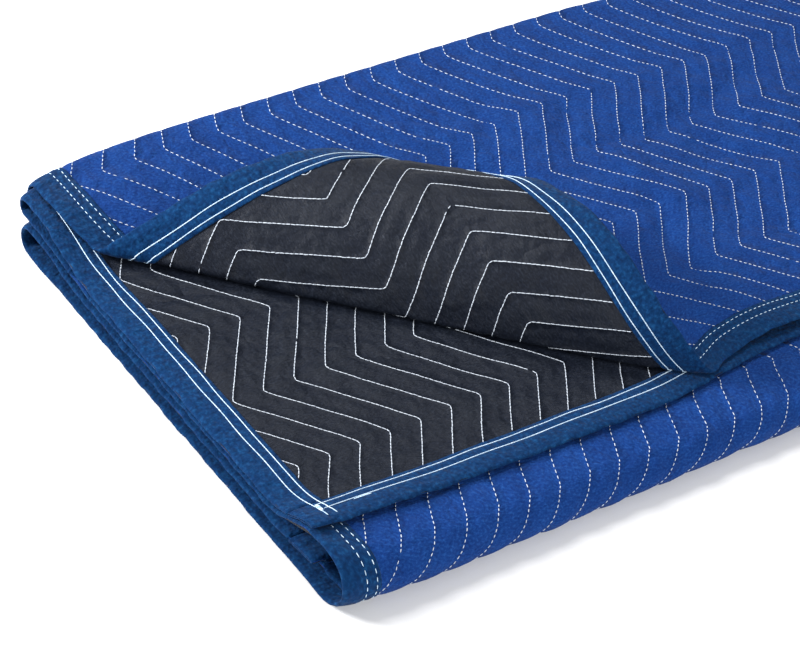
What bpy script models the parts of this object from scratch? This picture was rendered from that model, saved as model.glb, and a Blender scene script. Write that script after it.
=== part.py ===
"""A quilted moving blanket, folded flat, with the top front-left corner turned back.

The blanket is one rectangle, blue on one face and black on the other. It is
folded in half crosswise with the black face inside, then lengthwise into four
runs, so eight layers lie on each other. Its long free edge ends on top, just
behind the front fold, and the corner of the top layer is turned back over the
blanket so that the black back cloth shows.

A point of the cloth is named by u along the blanket, q along the fold path and
w through the thickness. The solids are cut flat and then carried into place.
"""
import bpy
import bmesh
import math
import numpy as np
from mathutils import Vector

for old in list(bpy.data.objects):
    bpy.data.objects.remove(old, do_unlink=True)

MM = 0.001

# --- driving sizes, millimetres -------------------------------------------
BLANKET_LENGTH = 1829.0      # u, from one bound end to the other
CLOTH = 2.1                  # each cloth, quilted and padded
CLOTH_HEMMED = 1.0           # each cloth where the binding squeezes it
CLOTH_GAP = 0.3              # between the two cloths of a layer
LAYER_GAP = 0.5              # between the two layers of one run
RUN_GAP = 0.7                # between one run and the next
BINDING_WIDTH = 32.0
BINDING_THICK = 0.8
PIECE_GAP = 0.3
RIM_GAP = 0.7                # the cloth's cut edge to the fold of the binding
SQUEEZE = 5.5                # how far inside the binding the cloth is back to full thickness

HALF_LAYER = CLOTH + CLOTH_GAP / 2            # layer's middle to its skin
MID = LAYER_GAP / 2 + HALF_LAYER              # run's centreline to a layer's middle
HALF_RUN = MID + HALF_LAYER                   # run's centreline to its skin
PITCH = 2 * HALF_RUN + RUN_GAP                # one run to the next

UPPER_START = 32.0           # the upper layers' bound end sits this far inside the lower ones'
UPPER_SPREAD = 18.0          # and slides out by this much towards the back fold
TURN = math.pi * MID         # cloth used by the crosswise fold
FOLD_X = (BLANKET_LENGTH + UPPER_START - TURN) / 2
upper_end = FOLD_X - UPPER_START

# q marks along the fold path; inside each stretch q runs evenly. The cloth is
# 2032 mm from edge to edge, and its squeezed left end measures a little less
Q_MARKS = dict(top_steady=380.0, top_end=450.0, back_fold=480.0,
               second_steady=857.0, second_edge=941.5, second_end=960.0,
               front_fold=1020.0, bottom_end=1500.0, low_back_fold=1530.0,
               inner_steady=1940.0, inner_edge=2000.0)

# turned-back corner of the top layer
CORNER_SIDE = 368.0          # crease to corner along the short bound end
CORNER_FRONT = 376.0         # crease to corner along the long bound edge
CREASE_RADIUS = 4.5
LEAN_LAST = math.radians(220.0)

crease_len = math.hypot(CORNER_SIDE, CORNER_FRONT)
along_u, along_v = CORNER_FRONT / crease_len, -CORNER_SIDE / crease_len
across_u, across_v = -CORNER_SIDE / crease_len, -CORNER_FRONT / crease_len
CORNER_REACH = CORNER_SIDE * CORNER_FRONT / crease_len


def ease(x):
    x = np.clip(x, 0.0, 1.0)
    return x * x * x * (x * (6 * x - 15) + 10)


def front_edge(x):
    """Where the free long edge on top lies."""
    return 50.5 + 18.0 * ease((x - 300.0) / 220.0)


def back_of_fold(x):
    """Outermost reach of the upper back fold; the folded corner pulls in at the left."""
    out = 498.0 + 42.0 * (1 - np.exp(-(np.maximum(x, 0) + 5.0) / 70.0)) + 0.03 * x
    return out - 22.0 * ease((x - 580.0) / 340.0)


def fold_sizes(x):
    """Fold sizes and run lengths at each x. The folds stand open at the left end."""
    openness = np.exp(-np.maximum(x, 0) / 110.0)
    s = {}
    s["back_r"] = 5.7 + 4.3 * openness
    s["low_r"] = 5.6 + 4.0 * openness
    s["nose_r"] = 12.3 + 7.7 * openness
    s["nose_len"] = 14.0 + 8.0 * openness
    nose = 5.5 * np.exp(-np.maximum(x, 0) / 25.0)
    s["nose_y"] = nose + HALF_RUN + s["nose_len"]
    s["back_y"] = back_of_fold(x) - HALF_RUN - s["back_r"]
    s["low_y"] = 492.0 + 0.55 * (back_of_fold(x) - 501.0) - HALF_RUN - s["low_r"]
    s["edge_y"] = front_edge(x)
    s["open"] = openness
    return s


def fold_path_at(x, q):
    """Centreline of the run (y, z) at x, for path mark q."""
    s = fold_sizes(x)
    m = Q_MARKS
    z_c = HALF_RUN
    z_d_back = z_c + 2 * s["low_r"]
    z_d = z_c + PITCH
    z_b = z_d + PITCH
    z_b_back = z_d_back + PITCH
    z_b_front = z_c + 2 * s["nose_r"]
    z_a_back = z_b_back + 2 * s["back_r"]

    blend_end = s["low_y"]

    def back_rise(y):
        return ease((y - (blend_end - 110.0)) / 110.0)

    def front_rise(y):
        return 1.0 - ease((y - 42.0) / 76.0)

    def run_b(y):
        return z_b + (z_b_back - z_b) * back_rise(y) + (z_b_front - z_b) * front_rise(y)

    def run_a(y):
        return (run_b(y) + PITCH + 2.0 * s["open"] * front_rise(y)
                + (z_a_back - z_b_back - PITCH) * back_rise(y))

    def run_d(y):
        return z_d + (z_d_back - z_d) * back_rise(y) + 6.0 * s["open"] * (1 - ease((y - 44.0) / 60.0))

    top_len = s["back_y"] - s["edge_y"]
    y = np.zeros_like(q)
    z = np.zeros_like(q)

    k = q <= m["top_end"]
    t = np.where(q <= m["top_steady"], q,
                 m["top_steady"] + (q - m["top_steady"]) * (top_len - m["top_steady"])
                 / (m["top_end"] - m["top_steady"]))
    ya = s["edge_y"] + t
    y = np.where(k, ya, y)
    z = np.where(k, run_a(ya), z)

    k = (q > m["top_end"]) & (q <= m["back_fold"])
    a = np.pi * (q - m["top_end"]) / (m["back_fold"] - m["top_end"])
    y = np.where(k, s["back_y"] + s["back_r"] * np.sin(a), y)
    z = np.where(k, z_b_back + s["back_r"] * (1 + np.cos(a)), z)

    k = (q > m["back_fold"]) & (q <= m["second_end"])
    steady_y = 50.5 + m["second_edge"] - m["second_steady"]
    f = (q - m["back_fold"]) / (m["second_steady"] - m["back_fold"])
    g = (q - m["second_edge"]) / (m["second_end"] - m["second_edge"])
    yb = np.where(q > m["second_edge"], 50.5 + (s["nose_y"] - 50.5) * g,
                  np.where(q > m["second_steady"], 50.5 + m["second_edge"] - q,
                           s["back_y"] + (steady_y - s["back_y"]) * f))
    y = np.where(k, yb, y)
    z = np.where(k, run_b(yb), z)

    k = (q > m["second_end"]) & (q <= m["front_fold"])
    a = np.pi * (q - m["second_end"]) / (m["front_fold"] - m["second_end"])
    y = np.where(k, s["nose_y"] - s["nose_len"] * np.sin(a), y)
    z = np.where(k, z_c + s["nose_r"] * (1 + np.cos(a)), z)

    k = (q > m["front_fold"]) & (q <= m["bottom_end"])
    f = (q - m["front_fold"]) / (m["bottom_end"] - m["front_fold"])
    y = np.where(k, s["nose_y"] + (s["low_y"] - s["nose_y"]) * f, y)
    z = np.where(k, z_c, z)

    k = (q > m["bottom_end"]) & (q <= m["low_back_fold"])
    a = np.pi * (q - m["bottom_end"]) / (m["low_back_fold"] - m["bottom_end"])
    y = np.where(k, s["low_y"] + s["low_r"] * np.sin(a), y)
    z = np.where(k, z_c + s["low_r"] * (1 - np.cos(a)), z)

    # the inner run ends a little behind the front fold
    inner_y = 44.0 + 16.0 * ease(x / 300.0)
    hem = m["inner_edge"] - m["inner_steady"]
    f = (q - m["low_back_fold"]) / (m["inner_steady"] - m["low_back_fold"])
    yd = np.where(q > m["inner_steady"], inner_y + (m["inner_edge"] - q),
                  s["low_y"] + (inner_y + hem - s["low_y"]) * f)
    k = q > m["low_back_fold"]
    y = np.where(k, yd, y)
    z = np.where(k, run_d(yd), z)
    return y, z


# straight rulings join the path's shape at these x
STATIONS = [0.0, 130.0, 240.0, 480.0, 1000.0]


def fold_path(x, q):
    place_x = np.clip(x, STATIONS[0], STATIONS[-1])
    i = np.clip(np.searchsorted(STATIONS, place_x, side="right") - 1, 0, len(STATIONS) - 2)
    x0 = np.take(STATIONS, i)
    x1 = np.take(STATIONS, i + 1)
    f = (place_x - x0) / (x1 - x0)
    y0, z0 = fold_path_at(x0, q)
    y1, z1 = fold_path_at(x1, q)
    return y0 + (y1 - y0) * f, z0 + (z1 - z0) * f


def layer_section(u):
    """Middle of the layer in the crosswise fold: x, offset from the run's
    centreline, and the direction of the blue side."""
    upper = upper_end
    x = np.where(u < upper, UPPER_START + u, 0.0)
    off = np.where(u < upper, MID, 0.0)
    nx = np.zeros_like(u)
    no = np.where(u < upper, 1.0, 0.0)
    k = (u >= upper) & (u <= upper + TURN)
    a = (u - upper) / MID
    x = np.where(k, FOLD_X + MID * np.sin(a), x)
    off = np.where(k, MID * np.cos(a), off)
    nx = np.where(k, np.sin(a), nx)
    no = np.where(k, np.cos(a), no)
    k = u > upper + TURN
    x = np.where(k, FOLD_X - (u - upper - TURN), x)
    off = np.where(k, -MID, off)
    no = np.where(k, -1.0, no)
    return x, off, nx, no


def laid(u, q, w):
    """Point of the folded blanket, before the corner is turned back."""
    xm, off, nx, no = layer_section(u)
    top_upper = (q < Q_MARKS["top_end"]) & (u < upper_end)
    # the upper layers slide out to the left towards the back
    xm = xm - np.where(u < upper_end, UPPER_SPREAD * ease((q - 330.0) / 120.0)
                       * np.clip(1 - u / (STATIONS[1] - UPPER_START), 0, 1), 0.0)
    # and the top one is lifted beside the crease
    off = off + np.where(top_upper, 1.6 * np.exp(-(u / 90.0) ** 2) * ease((q - 250.0) / 70.0)
                         * (1 - ease((q - 400.0) / 50.0)), 0.0)
    x = xm + w * nx
    h = off + w * no
    y0, z0 = fold_path(xm, q - 0.02)
    y1, z1 = fold_path(xm, q + 0.02)
    y, z = fold_path(xm, q)
    dy, dz = y1 - y0, z1 - z0
    d = np.hypot(dy, dz)
    dy, dz = dy / d, dz / d
    return x, y - dz * h, z + dy * h


def turned(c, t, w):
    """Cross-section of the turned-back corner: reach out from the crease, and
    height, at distance t past the crease and c along it."""
    k = np.clip(c / crease_len, -0.05, 1.05)
    lean = np.radians(126.0 * (1 - k) + 75.0 * k)
    arch = 117.0 * (1 - k) + 88.0 * k - 68.0 * k * (1 - k)
    t1 = CREASE_RADIUS * lean
    t2 = t1 + arch * (LEAN_LAST - lean)

    def slope(at):
        return np.where(at < t1, at / CREASE_RADIUS,
                        np.where(at < t2, lean + (at - t1) / arch, LEAN_LAST))

    steps = 160
    reach = np.zeros_like(t)
    height = np.zeros_like(t)
    for i in range(steps):
        lean_here = slope(t * (i + 0.5) / steps)
        reach += np.cos(lean_here) * t / steps
        height += np.sin(lean_here) * t / steps
    last = slope(t)
    return reach - w * np.sin(last), height + w * np.cos(last)


def place(u, q, w):
    """Point of the finished blanket, in millimetres."""
    c = u * along_u + (q - CORNER_SIDE) * along_v
    t = u * across_u + (q - CORNER_SIDE) * across_v
    corner = (t > 0) & (u < 500.0) & (q < 400.0)
    tc = np.where(corner, t, 0.0)
    fu, fq = u - tc * across_u, q - tc * across_v
    x, y, z = laid(fu, fq, np.where(corner, 0.0, w))
    xw, yw, zw = laid(fu, fq, w)
    lean_in = np.where(corner, 1 - ease(tc / 10.0), 0.0)
    x = x + (xw - x) * lean_in
    y = y + (yw - y) * lean_in
    z = z + (zw - z - w) * lean_in
    reach, height = turned(c, tc, np.where(corner, w, 0.0))
    x = np.where(corner, x + reach * across_u, x)
    y = np.where(corner, y + reach * across_v, y)
    z = np.where(corner, z + height, z)
    return np.stack([x, y, z], axis=1)


# --- where the flat pieces are cut so that they can bend ---------------------
END_U = BLANKET_LENGTH
END_Q = Q_MARKS["inner_edge"]
EDGE_CUTS = [BINDING_WIDTH + 0.6, BINDING_WIDTH + SQUEEZE]


def spread(start, end, count):
    return [start + (end - start) * i / count for i in range(count + 1)]


u_cuts = [x - UPPER_START for x in STATIONS[1:4]]
u_cuts += spread(upper_end, upper_end + TURN, 3)
u_cuts += [END_U - x for x in [64.0] + STATIONS[1:4]]

q_cuts = [27.5, 45.5, 63.5, 325.0, 350.0, 375.0, 400.0, 425.0]
q_cuts += spread(Q_MARKS["top_end"], Q_MARKS["back_fold"], 5)
q_cuts += [508.0, 536.0, 565.0, 595.0, 878.0, 896.0, 914.0, 928.0, 941.5]
q_cuts += spread(Q_MARKS["second_end"], Q_MARKS["front_fold"], 6)
q_cuts += spread(Q_MARKS["bottom_end"], Q_MARKS["low_back_fold"], 5)
q_cuts += [1558.0, 1586.0, 1615.0, 1645.0, 1940.0]

crease_cuts = [0.0, 2.5, 5.0, 7.5, 10.0, 34.0, 58.0, 84.0, 112.0, 140.0, 168.0, 200.0]


def cut(bm, faces, co, no):
    edges = {e for f in faces for e in f.edges}
    verts = {v for f in faces for v in f.verts}
    bmesh.ops.bisect_plane(bm, geom=list(verts) + list(edges) + list(faces), dist=1e-5,
                           plane_co=co, plane_no=no)


def cut_all(bm):
    """Cut a flat piece along every line it bends on."""
    lo = [min(v.co[i] for v in bm.verts) for i in range(2)]
    hi = [max(v.co[i] for v in bm.verts) for i in range(2)]
    for i, cuts, end in ((0, u_cuts, END_U), (1, q_cuts, END_Q)):
        for c in cuts + EDGE_CUTS + [end - d for d in EDGE_CUTS]:
            if lo[i] + 0.4 < c < hi[i] - 0.4:
                co, no = [0, 0, 0], [0, 0, 0]
                co[i], no[i] = c, 1
                cut(bm, list(bm.faces), co, no)
    for t in crease_cuts:
        co = (across_u * t, CORNER_SIDE + across_v * t, 0)
        near = [f for f in bm.faces
                if f.calc_center_median().x < 430.0 and f.calc_center_median().y < 390.0]
        if near:
            cut(bm, near, co, (across_u, across_v, 0))


def halve_faces(bm):
    """Triangles that lean the same way on every layer, so that layers a hair
    apart stay apart. The lean is mirrored where the cloth runs back."""
    for f in list(bm.faces):
        if len(f.verts) != 4 or abs(f.normal.z) < 0.9:
            continue
        mid = f.calc_center_median()
        way = 1.0 if mid.x < upper_end + TURN / 2 else -1.0
        vs = sorted(f.verts, key=lambda v: way * v.co.x * 1e-3 + v.co.y)
        low_pair = sorted(vs[:2], key=lambda v: way * v.co.x)
        high_pair = sorted(vs[2:], key=lambda v: way * v.co.x)
        square = (abs(vs[0].co.y - vs[1].co.y) < 1e-3 and abs(vs[2].co.y - vs[3].co.y) < 1e-3
                  and abs(low_pair[0].co.x - high_pair[0].co.x) < 1e-3)
        if square:
            bmesh.utils.face_split(f, low_pair[0], high_pair[1])
    rest = [f for f in bm.faces if len(f.verts) > 3]
    bmesh.ops.triangulate(bm, faces=rest, quad_method="BEAUTY", ngon_method="BEAUTY")


def finish(bm, name, colour, roughness):
    flat = np.array([v.co[:] for v in bm.verts])
    at = place(flat[:, 0], flat[:, 1], flat[:, 2]) * MM
    for v, p in zip(bm.verts, at):
        v.co = Vector(p)
    mesh = bpy.data.meshes.new(name)
    bm.to_mesh(mesh)
    bm.free()
    obj = bpy.data.objects.new(name, mesh)
    mat = bpy.data.materials.new(name)
    mat.use_nodes = True
    shader = mat.node_tree.nodes["Principled BSDF"]
    shader.inputs["Base Color"].default_value = (*colour, 1.0)
    shader.inputs["Roughness"].default_value = roughness
    shader.inputs["Metallic"].default_value = 0.0
    mesh.materials.append(mat)
    blanket.objects.link(obj)
    return obj


def cloth(name, side, colour, roughness):
    """One cloth, cut a little short of the blanket's edge to sit inside the
    binding, thin there and full in the field. side is +1 blue, -1 black."""
    inset = BINDING_THICK + RIM_GAP
    bm = bmesh.new()
    bmesh.ops.create_grid(bm, x_segments=1, y_segments=1, size=1.0)
    for v in bm.verts:
        v.co = Vector((inset if v.co.x < 0 else END_U - inset,
                       inset if v.co.y < 0 else END_Q - inset, 0.0))
    cut_all(bm)
    halve_faces(bm)

    def skins(u, q):
        d = min(u, END_U - u, q, END_Q - q)
        full = min(max((d - EDGE_CUTS[0]) / (EDGE_CUTS[1] - EDGE_CUTS[0]), 0.0), 1.0)
        thick = CLOTH_HEMMED + (CLOTH - CLOTH_HEMMED) * full
        near, far = side * CLOTH_GAP / 2, side * (CLOTH_GAP / 2 + thick)
        return min(near, far), max(near, far)

    under = list(bm.verts)
    sheet = list(bm.faces)
    twin = bmesh.ops.extrude_face_region(bm, geom=sheet)
    over = [v for v in twin["geom"] if isinstance(v, bmesh.types.BMVert)]
    for v in under:
        v.co.z = skins(v.co.x, v.co.y)[0]
    for v in over:
        v.co.z = skins(v.co.x, v.co.y)[1]
    bmesh.ops.triangulate(bm, faces=[f for f in bm.faces if len(f.verts) > 3])
    bmesh.ops.recalc_face_normals(bm, faces=list(bm.faces))
    return finish(bm, name, colour, roughness)


def binding(name, axis, at_end, start, stop, colour, roughness):
    """A strip folded over the edge. axis 0: the edge is at a fixed u; axis 1:
    at a fixed q. at_end says which of the two edges it is."""
    section = [(BINDING_WIDTH, HALF_LAYER), (0.0, HALF_LAYER), (0.0, -HALF_LAYER),
               (BINDING_WIDTH, -HALF_LAYER), (BINDING_WIDTH, -HALF_LAYER + BINDING_THICK),
               (BINDING_THICK, -HALF_LAYER + BINDING_THICK),
               (BINDING_THICK, HALF_LAYER - BINDING_THICK),
               (BINDING_WIDTH, HALF_LAYER - BINDING_THICK)]
    end = END_U if axis == 0 else END_Q
    bm = bmesh.new()
    ring = []
    for d, w in section:
        e = end - d if at_end else d
        ring.append(bm.verts.new((e, start, w) if axis == 0 else (start, e, w)))
    face = bm.faces.new(ring)
    out = bmesh.ops.extrude_face_region(bm, geom=[face])
    shift = Vector((0, stop - start, 0)) if axis == 0 else Vector((stop - start, 0, 0))
    for v in out["geom"]:
        if isinstance(v, bmesh.types.BMVert):
            v.co += shift
    bmesh.ops.recalc_face_normals(bm, faces=list(bm.faces))
    cut_all(bm)
    for f in bm.faces:
        f.normal_update()
    halve_faces(bm)
    return finish(bm, name, colour, roughness)


blanket = bpy.data.collections.new("moving_blanket")
bpy.context.scene.collection.children.link(blanket)

BLUE = (0.03, 0.10, 0.42)
BLACK = (0.035, 0.037, 0.045)
TEAL = (0.012, 0.085, 0.22)
clear = BINDING_WIDTH + PIECE_GAP

face = cloth("face_cloth", +1, BLUE, 0.85)
back = cloth("back_cloth", -1, BLACK, 0.8)
strips = [
    binding("binding_upper_end", 0, False, clear, END_Q - clear, TEAL, 0.9),
    binding("binding_lower_end", 0, True, clear, END_Q - clear, TEAL, 0.9),
    binding("binding_top_edge", 1, False, 0.0, END_U, TEAL, 0.9),
    binding("binding_inner_edge", 1, True, 0.0, END_U, TEAL, 0.9),
]

# the origin is under the middle of the folded blanket, on the floor
pieces = [face, back] + strips
low = [min(v.co[i] for o in pieces for v in o.data.vertices) for i in range(3)]
high = [max(v.co[i] for o in pieces for v in o.data.vertices) for i in range(3)]
shift = Vector(((low[0] + high[0]) / 2, (low[1] + high[1]) / 2, low[2]))
for o in pieces:
    for v in o.data.vertices:
        v.co -= shift
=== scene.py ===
"""A quilted moving blanket, folded flat with one corner of its top layer turned back.

Blue cloth outside and black cloth inside are quilted together in zigzags and
bound with felted tape. It is folded in half crosswise, then lengthwise into four
runs. Sizes are in millimetres until a piece is placed.
"""
import bpy
import bmesh
import math
import numpy as np
from mathutils import Matrix, Vector


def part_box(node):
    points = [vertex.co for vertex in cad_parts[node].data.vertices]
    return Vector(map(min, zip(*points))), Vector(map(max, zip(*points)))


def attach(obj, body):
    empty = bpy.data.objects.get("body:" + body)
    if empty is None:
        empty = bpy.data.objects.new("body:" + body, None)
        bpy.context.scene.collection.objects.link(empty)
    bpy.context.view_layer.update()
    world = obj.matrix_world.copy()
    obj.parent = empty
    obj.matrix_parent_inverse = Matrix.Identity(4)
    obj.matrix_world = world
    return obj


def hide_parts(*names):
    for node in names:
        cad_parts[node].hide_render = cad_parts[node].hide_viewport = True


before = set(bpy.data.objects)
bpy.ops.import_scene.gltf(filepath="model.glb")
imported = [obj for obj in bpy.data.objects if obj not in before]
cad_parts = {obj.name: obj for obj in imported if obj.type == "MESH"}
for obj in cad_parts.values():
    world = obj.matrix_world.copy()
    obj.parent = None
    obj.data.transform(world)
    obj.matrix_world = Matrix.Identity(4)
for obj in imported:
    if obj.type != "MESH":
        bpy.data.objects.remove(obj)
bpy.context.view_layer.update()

# =============================================================================
# The face cloth: royal-blue non-woven polyester, the blanket's outside. It is
# one rectangle, quilted to the back cloth, and everything else follows the way
# it is folded. u runs along the blanket, q along the fold path from the free
# edge on top, and w through the thickness, plus towards the blue side.
# =============================================================================
MM = 0.001
BLANKET_LENGTH = 1829.0
CLOTH = 2.1                  # each cloth between its skins, padding and all
CLOTH_HEMMED = 0.7           # where the binding squeezes it
CLOTH_GAP = 0.3
LAYER_GAP = 0.5
RUN_GAP = 0.7
BINDING_WIDTH = 32.0
RIM_INSET = 1.5              # the cloth's cut edge stays this far inside the binding's fold
HALF_LAYER = CLOTH + CLOTH_GAP / 2
MID = LAYER_GAP / 2 + HALF_LAYER
HALF_RUN = MID + HALF_LAYER
PITCH = 2 * HALF_RUN + RUN_GAP

UPPER_START = 32.0           # the upper layers' bound end sits this far inside the lower ones'
UPPER_SPREAD = 18.0
FRONT_EDGE_Y = 50.5          # the top layer's free edge, back from the front
INNER_EDGE_Y = 44.0          # and the hidden inner edge
TURN = math.pi * MID
FOLD_X = (BLANKET_LENGTH + UPPER_START - TURN) / 2
upper_end = FOLD_X - UPPER_START
END_U = BLANKET_LENGTH
END_Q = 2000.0               # the path is marked off in these, and runs evenly inside each stretch
TOP_STEADY, TOP_END, BACK_FOLD = 380.0, 450.0, 480.0
SECOND_STEADY, SECOND_EDGE, SECOND_END = 857.0, 941.5, 960.0
FRONT_FOLD, BOTTOM_END, LOW_FOLD, INNER_STEADY = 1020.0, 1500.0, 1530.0, 1940.0

CORNER_SIDE = 368.0          # crease to corner along the short bound end
CORNER_FRONT = 376.0         # crease to corner along the long bound edge
CREASE_RADIUS = 4.5
CREASE_CUTS, CREASE_CUT_STEP = 9, 1.25       # extra mesh lines that let the cloth bend there
LEAN_SIDE, LEAN_FRONT = 126.0, 75.0          # how far the crease bends, in degrees, at its two ends
ARCH_SIDE, ARCH_FRONT, ARCH_DIP = 117.0, 88.0, 68.0      # the radius of the curl past it
LEAN_LAST = math.radians(220.0)
crease_len = math.hypot(CORNER_SIDE, CORNER_FRONT)
along_u, along_v = CORNER_FRONT / crease_len, -CORNER_SIDE / crease_len
across_u, across_v = -CORNER_SIDE / crease_len, -CORNER_FRONT / crease_len

# where the row's origin lies from the front-left ground corner
node_boxes = [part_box(name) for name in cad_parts]
half_long = max(high.x for low, high in node_boxes) / MM
half_deep = max(high.y for low, high in node_boxes) / MM


def ease(x):
    x = np.clip(x, 0.0, 1.0)
    return x * x * x * (x * (6 * x - 15) + 10)


def ripple(a, b, size, seed):
    """Smooth uneven rise and fall, about -1 to 1 and size mm from crest to crest."""
    rng = np.random.default_rng(seed)
    total = 0.0
    for _ in range(7):
        heading, start = rng.uniform(0, 2 * math.pi, 2)
        wave = 2 * math.pi / (size * rng.uniform(0.7, 1.6))
        total = total + np.sin((a * math.cos(heading) + b * math.sin(heading)) * wave + start)
    return total / 3.2


def back_of_fold(x):
    """Outermost reach of the upper back fold; the folded corner pulls in at the left."""
    out = 498.0 + 42.0 * (1 - np.exp(-(np.maximum(x, 0) + 5.0) / 70.0)) + 0.03 * x
    return out - 22.0 * ease((x - 580.0) / 340.0)


def fold_path(x, q):
    """Middle of a run (y, z) at x, for path mark q. The folds stand open at the left end."""
    x = np.maximum(x, 0.0)
    openness = np.exp(-x / 110.0)
    edge_y = FRONT_EDGE_Y + 18.0 * ease((x - 300.0) / 220.0)
    back_r, low_r, nose_r = 5.7 + 4.3 * openness, 5.6 + 4.0 * openness, 12.3 + 7.7 * openness
    nose_len = 14.0 + 8.0 * openness
    nose_y = 5.5 * np.exp(-x / 25.0) + HALF_RUN + nose_len
    back_y = back_of_fold(x) - HALF_RUN - back_r
    low_y = 492.0 + 0.55 * (back_of_fold(x) - 501.0) - HALF_RUN - low_r
    z_c = HALF_RUN
    z_d, z_d_back = z_c + PITCH, z_c + 2 * low_r
    z_b, z_b_back, z_b_front = z_d + PITCH, z_d_back + PITCH, z_c + 2 * nose_r
    z_a_back = z_b_back + 2 * back_r

    def back_rise(y):
        return ease((y - (low_y - 110.0)) / 110.0)

    def front_rise(y):
        return 1.0 - ease((y - 42.0) / 76.0)

    def run_b(y):
        return z_b + (z_b_back - z_b) * back_rise(y) + (z_b_front - z_b) * front_rise(y)

    top_share = (back_y - edge_y - TOP_STEADY) / (TOP_END - TOP_STEADY)
    y_a = edge_y + np.where(q <= TOP_STEADY, q, TOP_STEADY + (q - TOP_STEADY) * top_share)
    z_a = (run_b(y_a) + PITCH + 2.0 * openness * front_rise(y_a)
           + (z_a_back - z_b_back - PITCH) * back_rise(y_a))

    steady_y = FRONT_EDGE_Y + SECOND_EDGE - SECOND_STEADY
    y_b = np.where(q > SECOND_EDGE,
                   FRONT_EDGE_Y
                   + (nose_y - FRONT_EDGE_Y) * (q - SECOND_EDGE) / (SECOND_END - SECOND_EDGE),
                   np.where(q > SECOND_STEADY, FRONT_EDGE_Y + SECOND_EDGE - q,
                            back_y + (steady_y - back_y) * (q - BACK_FOLD) / (SECOND_STEADY - BACK_FOLD)))
    y_c = nose_y + (low_y - nose_y) * (q - FRONT_FOLD) / (BOTTOM_END - FRONT_FOLD)
    inner_y = INNER_EDGE_Y + 16.0 * ease(x / 300.0)
    hem = END_Q - INNER_STEADY
    y_d = np.where(q > INNER_STEADY, inner_y + END_Q - q,
                   low_y + (inner_y + hem - low_y) * (q - LOW_FOLD) / (INNER_STEADY - LOW_FOLD))
    z_inner = z_d + (z_d_back - z_d) * back_rise(y_d) + 6.0 * openness * (1 - ease((y_d - INNER_EDGE_Y) / 60.0))

    back_turn = np.pi * (q - TOP_END) / (BACK_FOLD - TOP_END)
    nose_turn = np.pi * (q - SECOND_END) / (FRONT_FOLD - SECOND_END)
    low_turn = np.pi * (q - BOTTOM_END) / (LOW_FOLD - BOTTOM_END)
    stretch = [q <= TOP_END, q <= BACK_FOLD, q <= SECOND_END, q <= FRONT_FOLD, q <= BOTTOM_END, q <= LOW_FOLD]
    y = np.select(stretch, [y_a, back_y + back_r * np.sin(back_turn), y_b,
                            nose_y - nose_len * np.sin(nose_turn), y_c, low_y + low_r * np.sin(low_turn)], y_d)
    z = np.select(stretch, [z_a, z_b_back + back_r * (1 + np.cos(back_turn)), run_b(y_b),
                            z_c + nose_r * (1 + np.cos(nose_turn)), z_c + 0 * q,
                            z_c + low_r * (1 - np.cos(low_turn))], z_inner)
    return y, z


def laid(u, q, w):
    """Point of the folded blanket, before the corner is turned back."""
    turn = np.clip((u - upper_end) / MID, 0.0, math.pi)
    upper = u < upper_end
    lower = u > upper_end + TURN
    x = np.where(upper, UPPER_START + u,
                 np.where(lower, FOLD_X - (u - upper_end - TURN), FOLD_X + MID * np.sin(turn)))
    off, nx, no = MID * np.cos(turn), np.sin(turn), np.cos(turn)
    # the upper layers slide out to the left towards the back
    x = x - np.where(upper, UPPER_SPREAD * ease((q - 312.0) / 120.0) * np.clip(1 - u / 98.0, 0, 1), 0.0)
    on_top = (q < TOP_END) & upper
    # the top one is lifted beside the crease, and its front edge lies a little back right of it
    off = off + np.where(on_top, 1.6 * np.exp(-(u / 90.0) ** 2) * ease((q - 250.0) / 70.0)
                         * (1 - ease((q - 400.0) / 50.0)), 0.0)
    q = q + np.where(on_top, 9.0 * ease((x - 385.0) / 60.0) * (1 - ease(q / 260.0)), 0.0)
    y0, z0 = fold_path(x, q - 0.02)
    y1, z1 = fold_path(x, q + 0.02)
    y, z = (y0 + y1) / 2, (z0 + z1) / 2
    long = np.hypot(y1 - y0, z1 - z0)
    h = off + w * no
    return x + w * nx, y - (z1 - z0) / long * h, z + (y1 - y0) / long * h


def turned(c, t, w):
    """The turned-back corner: its reach out from the crease, and its height, at
    distance t past the crease and c along it."""
    k = np.clip(c / crease_len, -0.05, 1.05)
    lean = np.radians(LEAN_SIDE * (1 - k) + LEAN_FRONT * k)
    arch = ARCH_SIDE * (1 - k) + ARCH_FRONT * k - ARCH_DIP * k * (1 - k)
    t1 = CREASE_RADIUS * lean
    t2 = t1 + arch * (LEAN_LAST - lean)

    def slope(at):
        return np.where(at < t1, at / CREASE_RADIUS, np.where(at < t2, lean + (at - t1) / arch, LEAN_LAST))

    steps = 160
    reach, height = np.zeros_like(t), np.zeros_like(t)
    for i in range(steps):
        here = slope(t * (i + 0.5) / steps)
        reach += np.cos(here) * t / steps
        height += np.sin(here) * t / steps
    last = slope(t)
    return reach - w * np.sin(last), height + w * np.cos(last)


def past_crease(u, q):
    """Distance along the crease, and past it towards the corner."""
    return (u * along_u + (q - CORNER_SIDE) * along_v, u * across_u + (q - CORNER_SIDE) * across_v)


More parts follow.
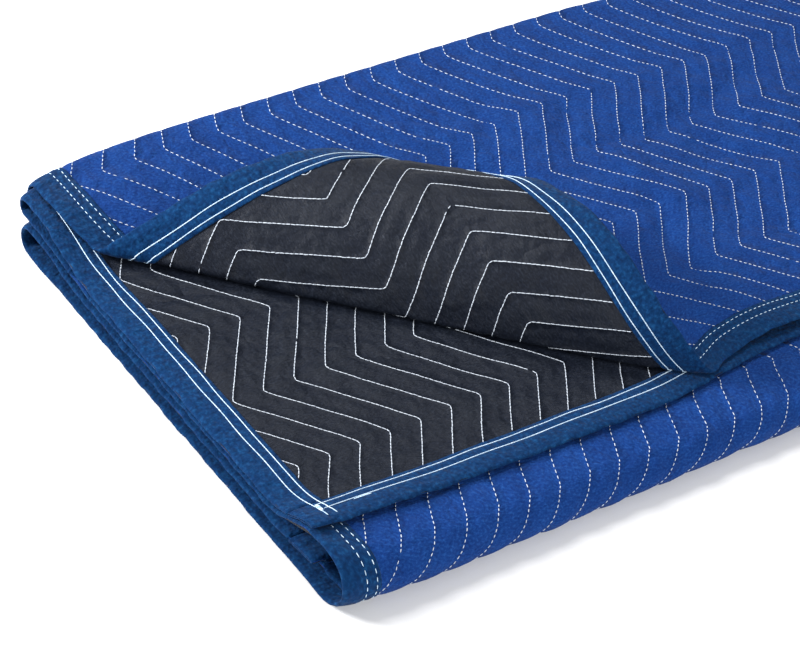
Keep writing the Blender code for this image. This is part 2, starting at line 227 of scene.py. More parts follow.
# the soft creases of the top layer right of the turned-back corner, from
# (x0, y0) to (x1, y1) on the blanket; a negative depth is a ridge
CREASES = [dict(x0=500, y0=345, x1=745, y1=382, wide=12.0, deep=4.2),
           dict(x0=527, y0=408, x1=487, y1=357, wide=11.0, deep=3.4),
           dict(x0=506, y0=250, x1=476, y1=140, wide=13.0, deep=4.6),
           dict(x0=520, y0=340, x1=530, y1=235, wide=26.0, deep=-3.4),
           dict(x0=520, y0=196, x1=566, y1=183, wide=11.0, deep=2.6),
           dict(x0=600, y0=300, x1=700, y1=252, wide=13.0, deep=3.2),
           dict(x0=590, y0=165, x1=690, y1=135, wide=12.0, deep=2.8),
           dict(x0=420, y0=392, x1=455, y1=470, wide=12.0, deep=2.4),
           dict(x0=700, y0=430, x1=820, y1=410, wide=13.0, deep=2.8)]


def creased(x, y):
    depth = 0.0
    for c in CREASES:
        run = np.array([c["x1"] - c["x0"], c["y1"] - c["y0"]], float)
        k = ((x - c["x0"]) * run[0] + (y - c["y0"]) * run[1]) / (run @ run)
        miss = ((x - c["x0"]) * run[1] - (y - c["y0"]) * run[0]) / math.hypot(*run)
        bow = 0.06 * math.hypot(*run) * np.sin(np.pi * np.clip(k, 0, 1))
        taper = ease((k + 0.25) / 0.4) * (1 - ease((k - 0.85) / 0.4))
        depth = depth + c["deep"] * np.exp(-((miss - bow) / c["wide"]) ** 2) * taper
    return depth


def give(u, q):
    """How far the loose layers stand off, along w: the soft swells of padded cloth."""
    x = np.where(u < upper_end, UPPER_START + u, BLANKET_LENGTH - u)
    _, t = past_crease(u, q)
    top = (u < upper_end) & (q < TOP_END)
    settled = (1 - ease((q - 340.0) / 90.0)) * (1 - ease((u - 800.0) / 80.0))
    swell = (1.5 * (1 + ripple(x, q, 170, 3)) + 0.9 * (1 + ripple(x, q, 75, 4))) * settled
    swell = swell + (3.4 - creased(x, q + 60.0)) * settled * ease((x - 380.0) / 60.0)
    w = np.where(top, swell * ease(-t / 70.0), 0.0)
    bend = 1.5 * ripple(u, q, 105, 5) + 0.7 * ripple(u, q, 46, 6)
    w = w + np.where(top, bend * ease((t - 14.0) / 60.0), 0.0)
    _, open_t = past_crease(x - UPPER_START, q)
    bare = (u > upper_end + TURN) & (q < TOP_END) & (x < 520.0)
    w = w - np.where(bare, 0.7 * (1 + ripple(x, q, 85, 7)) * ease((open_t - 5.0) / 50.0), 0.0)
    nose = ease((q - 930.0) / 30.0) * (1 - ease((q - 990.0) / 30.0))
    return w + np.where(u > upper_end + TURN, 0.6 * (1 + ripple(x, q, 60, 8)) * nose, 0.0)


def place(u, q, w):
    """Point of the finished blanket in the row frame, in metres."""
    u, q, w = (np.asarray(a, float) for a in (u, q, w))
    w = w + give(u, q)
    c, t = past_crease(u, q)
    corner = (t > 0) & (u < 500.0) & (q < 400.0)
    tc = np.where(corner, t, 0.0)
    fu, fq = u - tc * across_u, q - tc * across_v
    x, y, z = laid(fu, fq, np.where(corner, 0.0, w))
    k = np.nonzero(corner)[0]
    if len(k):
        lean_in = 1 - ease(tc[k] / 10.0)
        xw, yw, zw = laid(fu[k], fq[k], w[k])
        reach, height = turned(c[k], tc[k], w[k])
        x[k] += (xw - x[k]) * lean_in + reach * across_u
        y[k] += (yw - y[k]) * lean_in + reach * across_v
        z[k] += (zw - z[k] - w[k]) * lean_in + height
    return np.stack([x - half_long, y - half_deep, np.maximum(z, 0.0)], axis=1) * MM


# the quilting: one gang of needles sews every line at once, in zigzags across the blanket
LINE_STEP = 29.38            # from one line to the next, along the blanket
ZIGZAG_REACH = 60.6          # how far a line swings to the side
ZIGZAG_RUN = 84.5            # from one turn to the next, across the blanket
STITCH_DEPTH = 1.3           # how deep a stitched line draws the cloth in


def swing(m):
    """0 at one turn of the zigzag and 1 at the next, the turns a little rounded."""
    sharp = 0.998
    return 0.5 + 0.5 * np.arcsin(sharp * np.sin(np.pi * (m - 0.5))) / math.asin(sharp)


def skew(u, q):
    """The pattern's creep along u, and where a turn falls in q: cloth is never fed quite square."""
    far = ease((u - 900.0) / 450.0)
    q_in = np.clip(q, 0.0, 480.0)
    creep = -0.0179 * (q_in - 433.6) * (1 - far) + 0.0236 * (q_in - 159.8) * far - 0.4
    creep = creep + 0.6 * np.sin(q / 19.0 + u / 41.0) + 0.35 * np.sin(q / 8.3 + u / 23.0)
    turn_q = (95.6 + 0.0179 * u) * (1 - far) + (75.3 + 0.0236 * (1850.6 - u)) * far
    return creep, turn_q


def sewn_at(p, m):
    """Flat place (u, q) of line number p at zigzag turn m."""
    u, q = p * LINE_STEP, 90.0 + m * ZIGZAG_RUN
    for _ in range(8):
        creep, turn_q = skew(u, q)
        u, q = p * LINE_STEP + ZIGZAG_REACH * swing(m) + creep, turn_q + m * ZIGZAG_RUN
    return u, q


def from_line(u, q):
    """0 on a stitched line and 1 midway between two."""
    creep, turn_q = skew(u, q)
    p = (u - creep - ZIGZAG_REACH * swing((q - turn_q) / ZIGZAG_RUN)) / LINE_STEP
    return np.abs(p - np.round(p)) * 2


def skin(u, q, side):
    """Outer skin of a cloth, as w. Padding stands up between the lines where nothing presses on it."""
    edge = np.minimum(np.minimum(u, END_U - u), np.minimum(q, END_Q - q))
    full = np.clip((edge - BINDING_WIDTH - 0.6) / 7.0, 0.0, 1.0)
    _, t = past_crease(u, q)
    if side > 0:
        free = (u < upper_end) & (q < BACK_FOLD)
        nose = ease((q - 930.0) / 20.0) * (1 - ease((q - 985.0) / 30.0))
        free = np.where(free, 1.0, 0.0) + nose * (u > upper_end)
    else:
        _, open_t = past_crease(END_U - u - UPPER_START, q)
        free = np.where((u < upper_end) & (q < TOP_STEADY), ease((t - 15.0) / 30.0), 0.0)
        bare = (u > 1300.0) & (q < TOP_END)
        free = free + np.where(bare, ease((open_t - 5.0) / 30.0), 0.0)
    pad = 1 - (1 - from_line(u, q)) ** 2.4
    pad = pad * (0.86 + 0.14 * ripple(u, q, 34, 11))
    calm = ease((q - 425.0) / 25.0) * (1 - ease((q - 505.0) / 25.0))
    crest = CLOTH + 1.0 * free * (1 - calm)
    low = CLOTH - STITCH_DEPTH * (1 - 0.6 * calm)
    thick = CLOTH_HEMMED + (low + (crest - low) * pad - CLOTH_HEMMED) * full
    return side * (CLOTH_GAP / 2 + thick)


def steps(table):
    """Places from a table of stretches, each (start, stop, step)."""
    out = [table[0][0]]
    for start, stop, step in table:
        out += [start + step * (i + 1) for i in range(round((stop - start) / step))]
    return np.array(out)


def bend_lines():
    """Flat lines that the cloth bends on: (axis, place)."""
    lines = [(0, upper_end + TURN * i / 5) for i in range(6)]
    folds = ((TOP_END, BACK_FOLD, 8), (SECOND_END, FRONT_FOLD, 12), (BOTTOM_END, LOW_FOLD, 8))
    for start, stop, count in folds:
        lines += [(1, start + (stop - start) * i / count) for i in range(count + 1)]
    for axis, end in ((0, END_U), (1, END_Q)):
        for d in (BINDING_WIDTH + 0.6, BINDING_WIDTH + 7.6):
            lines += [(axis, d), (axis, end - d)]
    return lines


def quilted_cloth(name, side, line_steps, turn_steps, material):
    """One cloth of the blanket: a sheet whose columns run along the quilting,
    trimmed to size, given its two skins, and folded."""
    p, m = steps(line_steps), steps(turn_steps)
    bm = bmesh.new()
    bmesh.ops.create_grid(bm, x_segments=len(p) - 1, y_segments=len(m) - 1, size=1.0)
    grid = np.array([v.co[:] for v in bm.verts])
    col = np.rint((grid[:, 0] + 1) / 2 * (len(p) - 1)).astype(int)
    row = np.rint((grid[:, 1] + 1) / 2 * (len(m) - 1)).astype(int)
    u, q = sewn_at(p[col], m[row])
    for v, a, b in zip(bm.verts, u, q):
        v.co = (a, b, 0.0)
    for axis, end in ((0, END_U), (1, END_Q)):
        for at, out in ((RIM_INSET, -1), (end - RIM_INSET, 1)):
            co, no = [0, 0, 0], [0, 0, 0]
            co[axis], no[axis] = at, out
            bmesh.ops.bisect_plane(bm, geom=bm.verts[:] + bm.edges[:] + bm.faces[:], dist=1e-4,
                                   plane_co=co, plane_no=no, clear_outer=True)
    for axis, at in bend_lines():
        cut_across(bm, axis, at)
    cut_along_crease(bm)
    bmesh.ops.triangulate(bm, faces=bm.faces[:])
    under = list(bm.verts)
    twin = bmesh.ops.extrude_face_region(bm, geom=bm.faces[:])
    over = [v for v in twin["geom"] if isinstance(v, bmesh.types.BMVert)]
    inner, outer = (under, over) if side > 0 else (over, under)
    for v in inner:
        v.co.z = side * CLOTH_GAP / 2
    flat = np.array([v.co[:2] for v in outer])
    for v, w in zip(outer, skin(flat[:, 0], flat[:, 1], side)):
        v.co.z = w
    bmesh.ops.triangulate(bm, faces=[f for f in bm.faces if len(f.verts) > 3])
    bmesh.ops.recalc_face_normals(bm, faces=bm.faces[:])
    return fold_up(bm, name, material)


def put_out(name, data):
    """An object for a mesh, lamp or camera, linked to the scene."""
    obj = bpy.data.objects.new(name, data)
    bpy.context.scene.collection.objects.link(obj)
    return obj


def cut_sheet(bm, faces, co, no):
    edges = {e for f in faces for e in f.edges}
    verts = {v for f in faces for v in f.verts}
    bmesh.ops.bisect_plane(bm, geom=list(verts) + list(edges) + faces, dist=1e-4, plane_co=co, plane_no=no)


def cut_across(bm, axis, at):
    """Cuts the flat sheet where that axis reads at."""
    near = [f for f in bm.faces if min(v.co[axis] for v in f.verts) < at < max(v.co[axis] for v in f.verts)]
    co, no = [0, 0, 0], [0, 0, 0]
    co[axis], no[axis] = at, 1
    cut_sheet(bm, near, co, no)


def cut_along_crease(bm):
    """Cuts the flat sheet along the start of the turned-back corner."""
    for i in range(CREASE_CUTS):
        t = i * CREASE_CUT_STEP
        near = [f for f in bm.faces if f.verts[0].co.x < 430 and f.verts[0].co.y < 420
                and abs(past_crease(f.verts[0].co.x, f.verts[0].co.y)[1] - t) < 25]
        if near:
            cut_sheet(bm, near, (across_u * t, CORNER_SIDE + across_v * t, 0), (across_u, across_v, 0))


def fold_up(bm, name, material):
    """Carries a flat piece to its folded place. It keeps its flat place as the
    UV map "cut", in metres, and its distance from the stitching as an attribute."""
    cut = bm.loops.layers.uv.new("cut")
    for f in bm.faces:
        for loop in f.loops:
            loop[cut].uv = loop.vert.co.xy * MM
    mesh = bpy.data.meshes.new(name)
    bm.to_mesh(mesh)
    bm.free()
    flat = np.empty(len(mesh.vertices) * 3)
    mesh.vertices.foreach_get("co", flat)
    u, q, w = flat.reshape(-1, 3).T
    gap = mesh.attributes.new("from_stitch", "FLOAT", "POINT")
    gap.data.foreach_set("value", from_line(u, q))
    mesh.vertices.foreach_set("co", place(u, q, w).ravel())
    mesh.shade_smooth()
    mesh.materials.append(material)
    mesh.update()
    obj = put_out(name, mesh)
    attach(obj, "root")
    return obj


def new_material(name):
    mat = bpy.data.materials.new(name)
    mat.use_nodes = True
    return mat, mat.node_tree, mat.node_tree.nodes["Principled BSDF"]


def node(tree, kind, **sockets):
    made = tree.nodes.new(kind)
    for key, value in sockets.items():
        made.inputs[key.replace("_", " ")].default_value = value
    return made


def flecks(tree, at, size_mm, stretch=(1, 1, 1), turn=0.0, detail=3.0):
    """Uneven flecks of about that size over the cloth, 0 to 1."""
    spread = node(tree, "ShaderNodeMapping", Scale=stretch, Rotation=(0, 0, turn))
    tree.links.new(at, spread.inputs["Vector"])
    noise = node(tree, "ShaderNodeTexNoise", Scale=0.5 / (size_mm * MM), Detail=detail, Roughness=0.6)
    tree.links.new(spread.outputs["Vector"], noise.inputs["Vector"])
    return noise.outputs["Fac"]


def shades(tree, fac, *stops):
    """Colour by fac: stops are (place, (r, g, b))."""
    ramp = tree.nodes.new("ShaderNodeValToRGB")
    ramp.color_ramp.elements[0].position, ramp.color_ramp.elements[0].color = stops[0][0], (*stops[0][1], 1)
    ramp.color_ramp.elements[1].position, ramp.color_ramp.elements[1].color = stops[-1][0], (*stops[-1][1], 1)
    for at, colour in stops[1:-1]:
        ramp.color_ramp.elements.new(at).color = (*colour, 1)
    tree.links.new(fac, ramp.inputs["Fac"])
    return ramp.outputs["Color"]


def sums(tree, kind, a, b):
    """Maths on two values, either of which may be a number."""
    made = tree.nodes.new("ShaderNodeMath")
    made.operation = kind
    for socket, value in zip(made.inputs, (a, b)):
        if isinstance(value, (int, float)):
            socket.default_value = value
        else:
            tree.links.new(value, socket)
    return made.outputs["Value"]


def coloured(tree, shader, base, cast):
    """Gives the shader its colour: base, darkened by cast."""
    mix = tree.nodes.new("ShaderNodeMix")
    mix.data_type, mix.blend_type = "RGBA", "MULTIPLY"
    mix.inputs["Factor"].default_value = 1.0
    tree.links.new(base, mix.inputs["A"])
    tree.links.new(cast, mix.inputs["B"])
    tree.links.new(mix.outputs["Result"], shader.inputs["Base Color"])


def cloth_place(tree):
    at = tree.nodes.new("ShaderNodeUVMap")
    at.uv_map = "cut"
    return at.outputs["UV"]


def puckers(tree, at):
    """Small drawn-up gathers that fade out away from a stitched line."""
    gap = tree.nodes.new("ShaderNodeAttribute")
    gap.attribute_name = "from_stitch"
    near = sums(tree, "POWER", sums(tree, "SUBTRACT", 1.0, gap.outputs["Fac"]), 3.0)
    return sums(tree, "MULTIPLY", near, flecks(tree, at, 5.0, stretch=(0.5, 1.4, 1), detail=1.0))


def wrinkles(tree, at, size_mm):
    """Fine wandering creases, as in crumpled cloth, that come and go. Minus where they are."""
    fold = flecks(tree, at, size_mm, detail=2.0)
    miss = sums(tree, "ABSOLUTE", sums(tree, "SUBTRACT", fold, 0.5), 0.0)
    far = sums(tree, "MINIMUM", sums(tree, "MULTIPLY", miss, 7.0), 1.0)
    line = sums(tree, "POWER", sums(tree, "SUBTRACT", 1.0, far), 2.0)
    here = sums(tree, "MULTIPLY", sums(tree, "SUBTRACT", flecks(tree, at, size_mm * 2.3), 0.42), 4.0)
    here = sums(tree, "MAXIMUM", sums(tree, "MINIMUM", here, 1.0), 0.0)
    return sums(tree, "MULTIPLY", line, sums(tree, "MULTIPLY", here, -1.0))


def relief(tree, *layers):
    """Height from layers of (values, weight), added up."""
    total = None
    for values, weight in layers:
        part = sums(tree, "MULTIPLY", values, weight)
        total = part if total is None else sums(tree, "ADD", total, part)
    return total


def bumped(tree, shader, height, depth_mm=1.0):
    bump = node(tree, "ShaderNodeBump", Strength=1.0, Distance=depth_mm * MM)
    tree.links.new(height, bump.inputs["Height"])
    tree.links.new(bump.outputs["Normal"], shader.inputs["Normal"])


blue, tree, shader = new_material("blue_nonwoven")
at = cloth_place(tree)
fibres = flecks(tree, at, 1.3, stretch=(1, 1.5, 1), turn=0.5, detail=5.0)
clouds = flecks(tree, at, 16.0, detail=5.0)
base = shades(tree, fibres, (0.30, (0.0025, 0.021, 0.120)), (0.52, (0.0055, 0.040, 0.188)),
              (0.72, (0.016, 0.074, 0.270)))
cast = shades(tree, clouds, (0.35, (0.74, 0.78, 0.84)), (0.65, (1.0, 1.0, 1.0)))
coloured(tree, shader, base, cast)
shader.inputs["Roughness"].default_value = 0.78
shader.inputs["Specular IOR Level"].default_value = 0.06
shader.inputs["Sheen Weight"].default_value = 0.02
height = relief(tree, (fibres, 0.8), (puckers(tree, at), 4.0),
                (flecks(tree, at, 13.0, detail=2.0), 6.0), (wrinkles(tree, at, 22.0), 1.6))
bumped(tree, shader, height)

BLUE_LINES = [(-2.75, 63.25, 0.25)]
BLUE_TURNS = [(-1.75, 5.25, 0.125), (5.25, 8.75, 0.5), (8.75, 12.0, 0.125), (12.0, 16.0, 0.25),
              (16.0, 17.5, 0.125), (17.5, 24.0, 0.5)]
face = quilted_cloth("blue_cloth", 1, BLUE_LINES, BLUE_TURNS, blue)
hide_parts("face_cloth")

# =============================================================================
# The back cloth: charcoal non-woven, quilted to the face cloth. It shows under
# the turned-back corner, on the corner's own face and in the slits at the ends.
# =============================================================================
black, tree, shader = new_material("charcoal_nonwoven")
at = cloth_place(tree)
grain = flecks(tree, at, 1.2, stretch=(0.8, 1.5, 1), detail=5.0)
clouds = flecks(tree, at, 14.0, detail=5.0)
base = shades(tree, grain, (0.28, (0.004, 0.006, 0.011)), (0.52, (0.009, 0.012, 0.020)),
              (0.74, (0.022, 0.028, 0.041)))
cast = shades(tree, clouds, (0.35, (0.70, 0.74, 0.84)), (0.65, (1.0, 0.98, 0.96)))
coloured(tree, shader, base, cast)
shader.inputs["Roughness"].default_value = 0.5
shader.inputs["Specular IOR Level"].default_value = 0.14
height = relief(tree, (grain, 0.8), (puckers(tree, at), 4.0),
                (flecks(tree, at, 14.0, detail=2.0), 6.0), (wrinkles(tree, at, 26.0), 1.6))
bumped(tree, shader, height)

BLACK_LINES = [(-2.75, 15.25, 0.25), (15.25, 44.25, 0.5), (44.25, 63.25, 0.25)]
BLACK_TURNS = [(-1.75, 5.25, 0.125), (5.25, 24.25, 0.5)]
back = quilted_cloth("charcoal_cloth", -1, BLACK_LINES, BLACK_TURNS, black)
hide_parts("back_cloth")

# =============================================================================
# The bindings: felted teal-blue tape, folded over each edge and sewn through
# with two rows. Those on the long edges run over the corners.
# =============================================================================
PIECE_GAP = 0.3
TAPE_THICK = 0.75
TAPE_ROWS = (19.5, 28.0)     # the two sewn rows, from the bound edge
# half of the tape's section, from its raw edge to the fold
TAPE_SECTION = [dict(d=32.2, w=1.50), dict(d=31.6, w=1.95), dict(d=30.0, w=2.05), dict(d=28.0, w=1.70),
                dict(d=26.0, w=2.05), dict(d=23.5, w=2.20), dict(d=21.3, w=2.05), dict(d=19.5, w=1.70),
                dict(d=17.5, w=2.10), dict(d=13.5, w=2.30), dict(d=9.0, w=2.30), dict(d=5.0, w=2.15),
                dict(d=2.2, w=1.75), dict(d=0.7, w=1.10), dict(d=0.1, w=0.40)]
TAPE_STEP = 5.5

teal, tree, shader = new_material("teal_felt_tape")
at = cloth_place(tree)
felt = flecks(tree, at, 1.8, detail=5.0)
clouds = flecks(tree, at, 6.0, detail=3.0)
base = shades(tree, felt, (0.30, (0.0012, 0.016, 0.058)), (0.52, (0.0022, 0.030, 0.102)),
              (0.72, (0.008, 0.062, 0.170)))
cast = shades(tree, clouds, (0.35, (0.72, 0.76, 0.84)), (0.65, (1.0, 1.0, 1.0)))
coloured(tree, shader, base, cast)
shader.inputs["Roughness"].default_value = 0.85
shader.inputs["Specular IOR Level"].default_value = 0.06
shader.inputs["Sheen Weight"].default_value = 0.03
height = relief(tree, (felt, 0.3), (flecks(tree, at, 5.0, detail=2.0), 4.0))
bumped(tree, shader, height, depth_mm=0.8)


def tape_edges(axis):
    return (END_U if axis == 0 else END_Q), (lambda e, s: (e, s) if axis == 0 else (s, e))


def bound_edge(name, axis, at_end, start, stop, seed):
    """Tape folded over one edge. axis 0: the edge is at a fixed u; 1: at a fixed q."""
    end, flat_place = tape_edges(axis)
    half = [(row["d"], row["w"]) for row in TAPE_SECTION]
    outer = half + [(0.0, 0.0)] + [(d, -w) for d, w in reversed(half)]
    count = round((stop - start) / TAPE_STEP)
    bm = bmesh.new()
    bmesh.ops.create_grid(bm, x_segments=len(outer) - 1, y_segments=count, size=1.0)
    under = list(bm.verts)
    twin = bmesh.ops.extrude_face_region(bm, geom=bm.faces[:])
    over = [v for v in twin["geom"] if isinstance(v, bmesh.types.BMVert)]
    for verts, inward in ((under, 0.0), (over, TAPE_THICK)):
        grid = np.array([v.co[:2] for v in verts])
        i = np.rint((grid[:, 0] + 1) / 2 * (len(outer) - 1)).astype(int)
        s = start + (grid[:, 1] + 1) / 2 * (stop - start)
        d, w = np.array(outer)[i].T
        pucker = 1 + 0.10 * ripple(s, d * 1.5, 17, seed) + 0.05 * ripple(s, w * 9, 8, seed + 1)
        tuck = np.minimum(1.0, 0.55 + np.minimum(s - start, stop - s) / 4.0)
        w = w * pucker * tuck
        rim = ease((6.0 - d) / 6.0)
        d = d + rim * 0.7 * (1 + ripple(s, 0 * s, 23, seed + 2)) + inward * rim
        w = np.where(np.abs(w) > 0.05, w - np.sign(w) * np.minimum(inward, np.abs(w) * 0.9), w)
        e = end - d if at_end else d
        a, b = flat_place(e, s)
        for v, x, y, z in zip(verts, a, b, w):
            v.co = (x, y, z)
    for other, at in bend_lines():
        if other != axis and start + 1 < at < stop - 1:
            cut_across(bm, other, at)
    cut_along_crease(bm)
    bmesh.ops.triangulate(bm, faces=bm.faces[:])
    bmesh.ops.recalc_face_normals(bm, faces=bm.faces[:])
    tape = fold_up(bm, name + "_tape", teal)
    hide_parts(name)
    return tape


clear = BINDING_WIDTH + PIECE_GAP
TAPES = [dict(name="binding_upper_end", axis=0, at_end=False, start=clear, stop=END_Q - clear),
         dict(name="binding_lower_end", axis=0, at_end=True, start=clear, stop=END_Q - clear),
         dict(name="binding_top_edge", axis=1, at_end=False, start=0.0, stop=END_U),
         dict(name="binding_inner_edge", axis=1, at_end=True, start=0.0, stop=END_U)]
tapes = [bound_edge(seed=20 + 5 * i, **tape) for i, tape in enumerate(TAPES)]

# =============================================================================
# The sewing: off-white polyester thread. The quilting shows as short dashes on
# the blue side and nearly joined stitches on the black side, and the bindings'
# two rows are a heavier thread.
# =============================================================================
BLACK_STITCH = 3.9           # from one stitch of the quilting to the next
BLUE_STITCH = 1.12 * BLACK_STITCH
QUILT_THREAD = 0.40          # half the thread's thickness
STITCH_FLAT = 1.15           # a stitch is this much wider than it is tall
CORNER_STOP = 20.0           # where a long edge's rows stop, in from its corner
ROW_OVERRUN = 9.0            # where an end's rows stop, in from the corner


def one_stitch():
    """A stitch of unit length and unit half-thickness: (along, across, up)."""
    bm = bmesh.new()
    bmesh.ops.create_uvsphere(bm, u_segments=5, v_segments=3, radius=1.0)
    shape = np.array([(v.co.z / 2, v.co.x, v.co.y) for v in bm.verts])
    faces = [[v.index for v in f.verts] for f in bm.faces]
    bm.free()
    return shape, faces


def dashes(u, q, stitch, show, start):
    """Ends (u0, q0, u1, q1) of the stitches along a flat line, each show of the stitch long."""
    run = np.concatenate([[0.0], np.cumsum(np.hypot(np.diff(u), np.diff(q)))])
    first = np.arange(start, run[-1] - stitch, stitch)
    ends = []
    for at in (first, first + stitch * show):
        ends += [np.interp(at, run, u), np.interp(at, run, q)]
    return np.stack(ends, axis=1)


def sew(name, rows, height, thick, overlap, material):
    """Makes all the stitches in rows. height(u, q) is the cloth's skin as w. Stitches
    overlap times as long as their span run into each other."""
    u0, q0, u1, q1 = np.concatenate(rows).T
    um, qm = (u0 + u1) / 2, (q0 + q1) / 2
    side = np.sign(height(um, qm))
    a = place(u0, q0, height(u0, q0))
    b = place(u1, q1, height(u1, q1))
    mid = place(um, qm, height(um, qm) + side * thick * 0.35)
    up = mid - place(um, qm, height(um, qm) - side * 1.0)
    along = b - a
    up -= along * (np.sum(up * along, axis=1) / np.sum(along * along, axis=1))[:, None]
    up /= np.linalg.norm(up, axis=1)[:, None]
    over = np.cross(up, along)
    over /= np.linalg.norm(over, axis=1)[:, None]
    shape, faces = one_stitch()
    r = thick * MM
    verts = (mid[:, None, :] + shape[None, :, 0, None] * along[:, None, :] * overlap
             + shape[None, :, 1, None] * over[:, None, :] * r * STITCH_FLAT
             + shape[None, :, 2, None] * up[:, None, :] * r)
    n = len(shape)
    mesh = bpy.data.meshes.new(name)
    every_face = [[i + k * n for i in f] for k in range(len(mid)) for f in faces]
    mesh.from_pydata(verts.reshape(-1, 3), [], every_face)
    mesh.shade_smooth()
    mesh.materials.append(material)
    bm = bmesh.new()
    bm.from_mesh(mesh)
    bmesh.ops.recalc_face_normals(bm, faces=bm.faces[:])
    bm.to_mesh(mesh)
    bm.free()
    obj = put_out(name, mesh)
    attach(obj, "root")
    return obj


def quilt_rows(side, shown, show, stitch):
    """Stitches of every quilting line on one side, where shown(u, q) says that it can be seen."""
    rng = np.random.default_rng(41 if side > 0 else 42)
    rows = []
    hem = BINDING_WIDTH - 0.5
    for line in range(-3, 64):
        m = np.arange(-1.5, 23.5, 0.02)
        u, q = sewn_at(np.full_like(m, line), m)
        ends = dashes(u, q, stitch, show, rng.uniform(0, stitch))
        um, qm = ends[:, 0], ends[:, 1]
        keep = (um > hem) & (um < END_U - hem) & (qm > hem) & (qm < END_Q - hem) & shown(um, qm)
        keep &= rng.uniform(size=len(um)) > 0.006
        jitter = rng.normal(0, 0.12, (len(um), 4))
        rows.append((ends + jitter)[keep])
    return rows


def blue_shows(u, q):
    top = (u < upper_end + TURN) & (q < 500.0)
    wrap = (u > upper_end) & (q > 925.0) & (q < 1545.0)
    end = np.abs(u - upper_end - TURN / 2) < 18.0
    return top | wrap | end


def black_shows(u, q):
    turned_back = past_crease(u, q)[1] > -6.0
    uncovered = past_crease(END_U - u - UPPER_START, q)[1] > -80.0
    beneath = (u > END_U - 620.0) & (q < 470.0) & uncovered
    return ((u < upper_end) & turned_back) | beneath


thread, tree, shader = new_material("offwhite_thread")
spot = node(tree, "ShaderNodeTexCoord")
twist = flecks(tree, spot.outputs["Object"], 2.0)
tint = shades(tree, twist, (0.3, (0.42, 0.47, 0.56)), (0.7, (0.66, 0.72, 0.80)))
tree.links.new(tint, shader.inputs["Base Color"])
shader.inputs["Roughness"].default_value = 0.55
blue_sewing = sew("quilting_blue_side", quilt_rows(1, blue_shows, 0.62, BLUE_STITCH),
                  lambda u, q: skin(u, q, 1), QUILT_THREAD, 1.12, thread)
black_sewing = sew("quilting_black_side", quilt_rows(-1, black_shows, 0.96, BLACK_STITCH),
                   lambda u, q: skin(u, q, -1), QUILT_THREAD, 1.25, thread)

heavy, tree, shader = new_material("binding_thread")
spot = node(tree, "ShaderNodeTexCoord")
twist = flecks(tree, spot.outputs["Object"], 2.5)
tint = shades(tree, twist, (0.3, (0.38, 0.56, 0.74)), (0.7, (0.66, 0.80, 0.92)))
tree.links.new(tint, shader.inputs["Base Color"])
shader.inputs["Roughness"].default_value = 0.5


def tape_skin(u, q, side):
    """Outer skin of a binding, as w."""
    under_long_tape = (q < BINDING_WIDTH) | (q > END_Q - BINDING_WIDTH)
    from_end = np.where(under_long_tape, 1e3, np.minimum(u, END_U - u))
    edge = np.minimum(np.minimum(q, END_Q - q), from_end)
    section = sorted((row["d"], row["w"]) for row in TAPE_SECTION)
    return side * (np.interp(edge, *zip(*section)) + 0.08)


def tape_rows(axis, at_end, show, stitch, wander):
    """The two sewn rows of one binding. A long edge's rows stop short of the
    corner and are boxed off there, and an end's rows run on over the corner."""
    end, flat_place = tape_edges(axis)
    length = tape_edges(1 - axis)[0]
    rows = []

    def add(off, s, start):
        u, q = flat_place(end - off if at_end else off, s)
        rows.append(dashes(u, q, stitch, show, start))

    short = CORNER_STOP if axis == 1 else ROW_OVERRUN
    for k, d in enumerate(TAPE_ROWS):
        s = np.arange(short, length - short, 1.5)
        add(d + 0.5 * ripple(s, 0 * s, 70, wander + k), s, 0.3 * k)
    if axis == 1:
        for corner in (short, length - short):
            inward = 1 if corner == short else -1
            for i in range(3):
                off = np.linspace(TAPE_ROWS[0] - 1.5, TAPE_ROWS[1] + 2.0, 8)
                add(off, corner + inward * (0.9 * i + 0.15 * off - 3.0), 0.0)
                s = corner + inward * np.linspace(30.0 + 3 * i, 46.0 + 2 * i, 12)
                add(TAPE_ROWS[0] + 0.9 * i + 0.04 * (s - corner), s, 0.2 * i)
    return rows


TAPE_STITCHES = [dict(side=1, word="blue", show=0.62, stitch=5.4, overlap=1.1, thick=0.38),
                 dict(side=-1, word="black", show=1.0, stitch=5.0, overlap=1.5, thick=0.46)]
for i, tape in enumerate(TAPES):
    for kind in TAPE_STITCHES:
        rows = tape_rows(tape["axis"], tape["at_end"], kind["show"], kind["stitch"], 60 + 4 * i)
        made = sew(f"{tape['name']}_thread_{kind['word']}_side", rows,
                   lambda u, q: tape_skin(u, q, kind["side"]), kind["thick"], kind["overlap"], heavy)

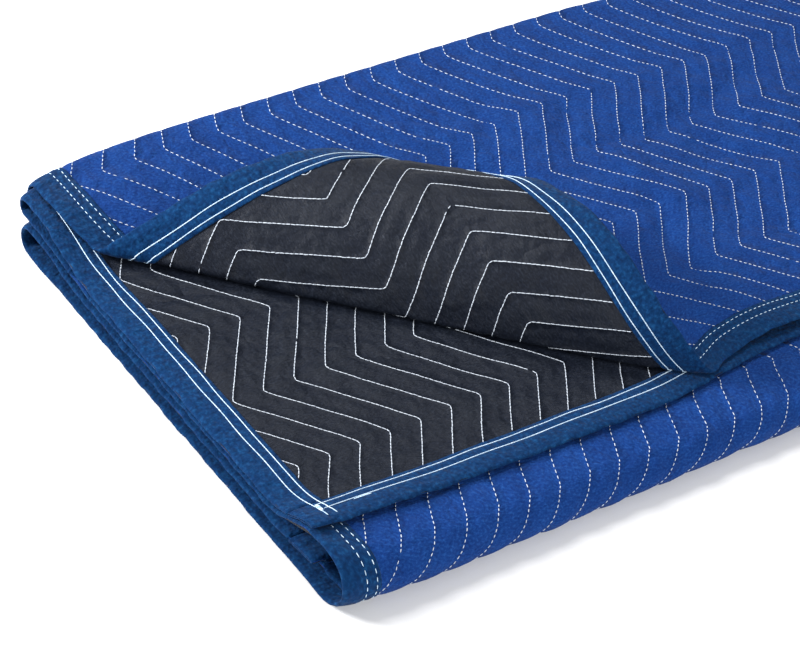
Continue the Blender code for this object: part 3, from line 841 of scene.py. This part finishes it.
# =============================================================================
# The floor, the light and the camera: a pale floor in a soft white studio,
# seen from the front left.
# =============================================================================
bm = bmesh.new()
bmesh.ops.create_grid(bm, x_segments=1, y_segments=1, size=6.0)
mesh = bpy.data.meshes.new("floor")
bm.to_mesh(mesh)
bm.free()
floor = put_out("floor", mesh)
pale, tree, shader = new_material("pale_floor")
shader.inputs["Base Color"].default_value = (0.92, 0.92, 0.92, 1)
shader.inputs["Roughness"].default_value = 0.9
mesh.materials.append(pale)

world = bpy.data.worlds.new("studio")
world.use_nodes = True
world.node_tree.nodes["Background"].inputs["Color"].default_value = (1.0, 1.0, 1.0, 1)
world.node_tree.nodes["Background"].inputs["Strength"].default_value = 0.44
bpy.context.scene.world = world


def softbox(name, place_m, width, power):
    """A round soft light, in metres and watts, aimed at the blanket's middle."""
    lamp = bpy.data.lights.new(name, "AREA")
    lamp.shape, lamp.size, lamp.energy = "DISK", width, power
    obj = put_out(name, lamp)
    obj.location = place_m
    obj.rotation_euler = (-Vector(place_m)).to_track_quat("-Z", "Y").to_euler()


softbox("key", (0.2, 0.9, 2.2), 1.0, 35)
softbox("left", (-1.8, 1.1, 0.95), 0.7, 74)
softbox("front", (-0.5, -2.0, 1.1), 1.3, 32)

CAMERA_FROM = (-816.1, -925.5, 1285.3)     # from the blanket's front-left ground corner
HEADING, DIP, TILT = (math.radians(a) for a in (41.54, 39.06, 7.82))
lens = bpy.data.cameras.new("camera")
lens.sensor_width, lens.lens = 36.0, 109.6
camera = put_out("camera", lens)
ahead = Vector((math.cos(DIP) * math.sin(HEADING), math.cos(DIP) * math.cos(HEADING), -math.sin(DIP)))
level = Vector((math.cos(HEADING), -math.sin(HEADING), 0.0))
above = level.cross(ahead)
slant = math.asin(math.sin(TILT) / math.cos(DIP))
right = level * math.cos(slant) + above * math.sin(slant)
camera.matrix_world = Matrix((right, right.cross(ahead), -ahead)).transposed().to_4x4()
camera_x, camera_y, camera_z = CAMERA_FROM
camera.location = ((camera_x - half_long) * MM, (camera_y - half_deep) * MM, camera_z * MM)
lens.clip_start = 0.05
bpy.context.scene.camera = camera
bpy.context.scene.view_settings.view_transform = "Standard"
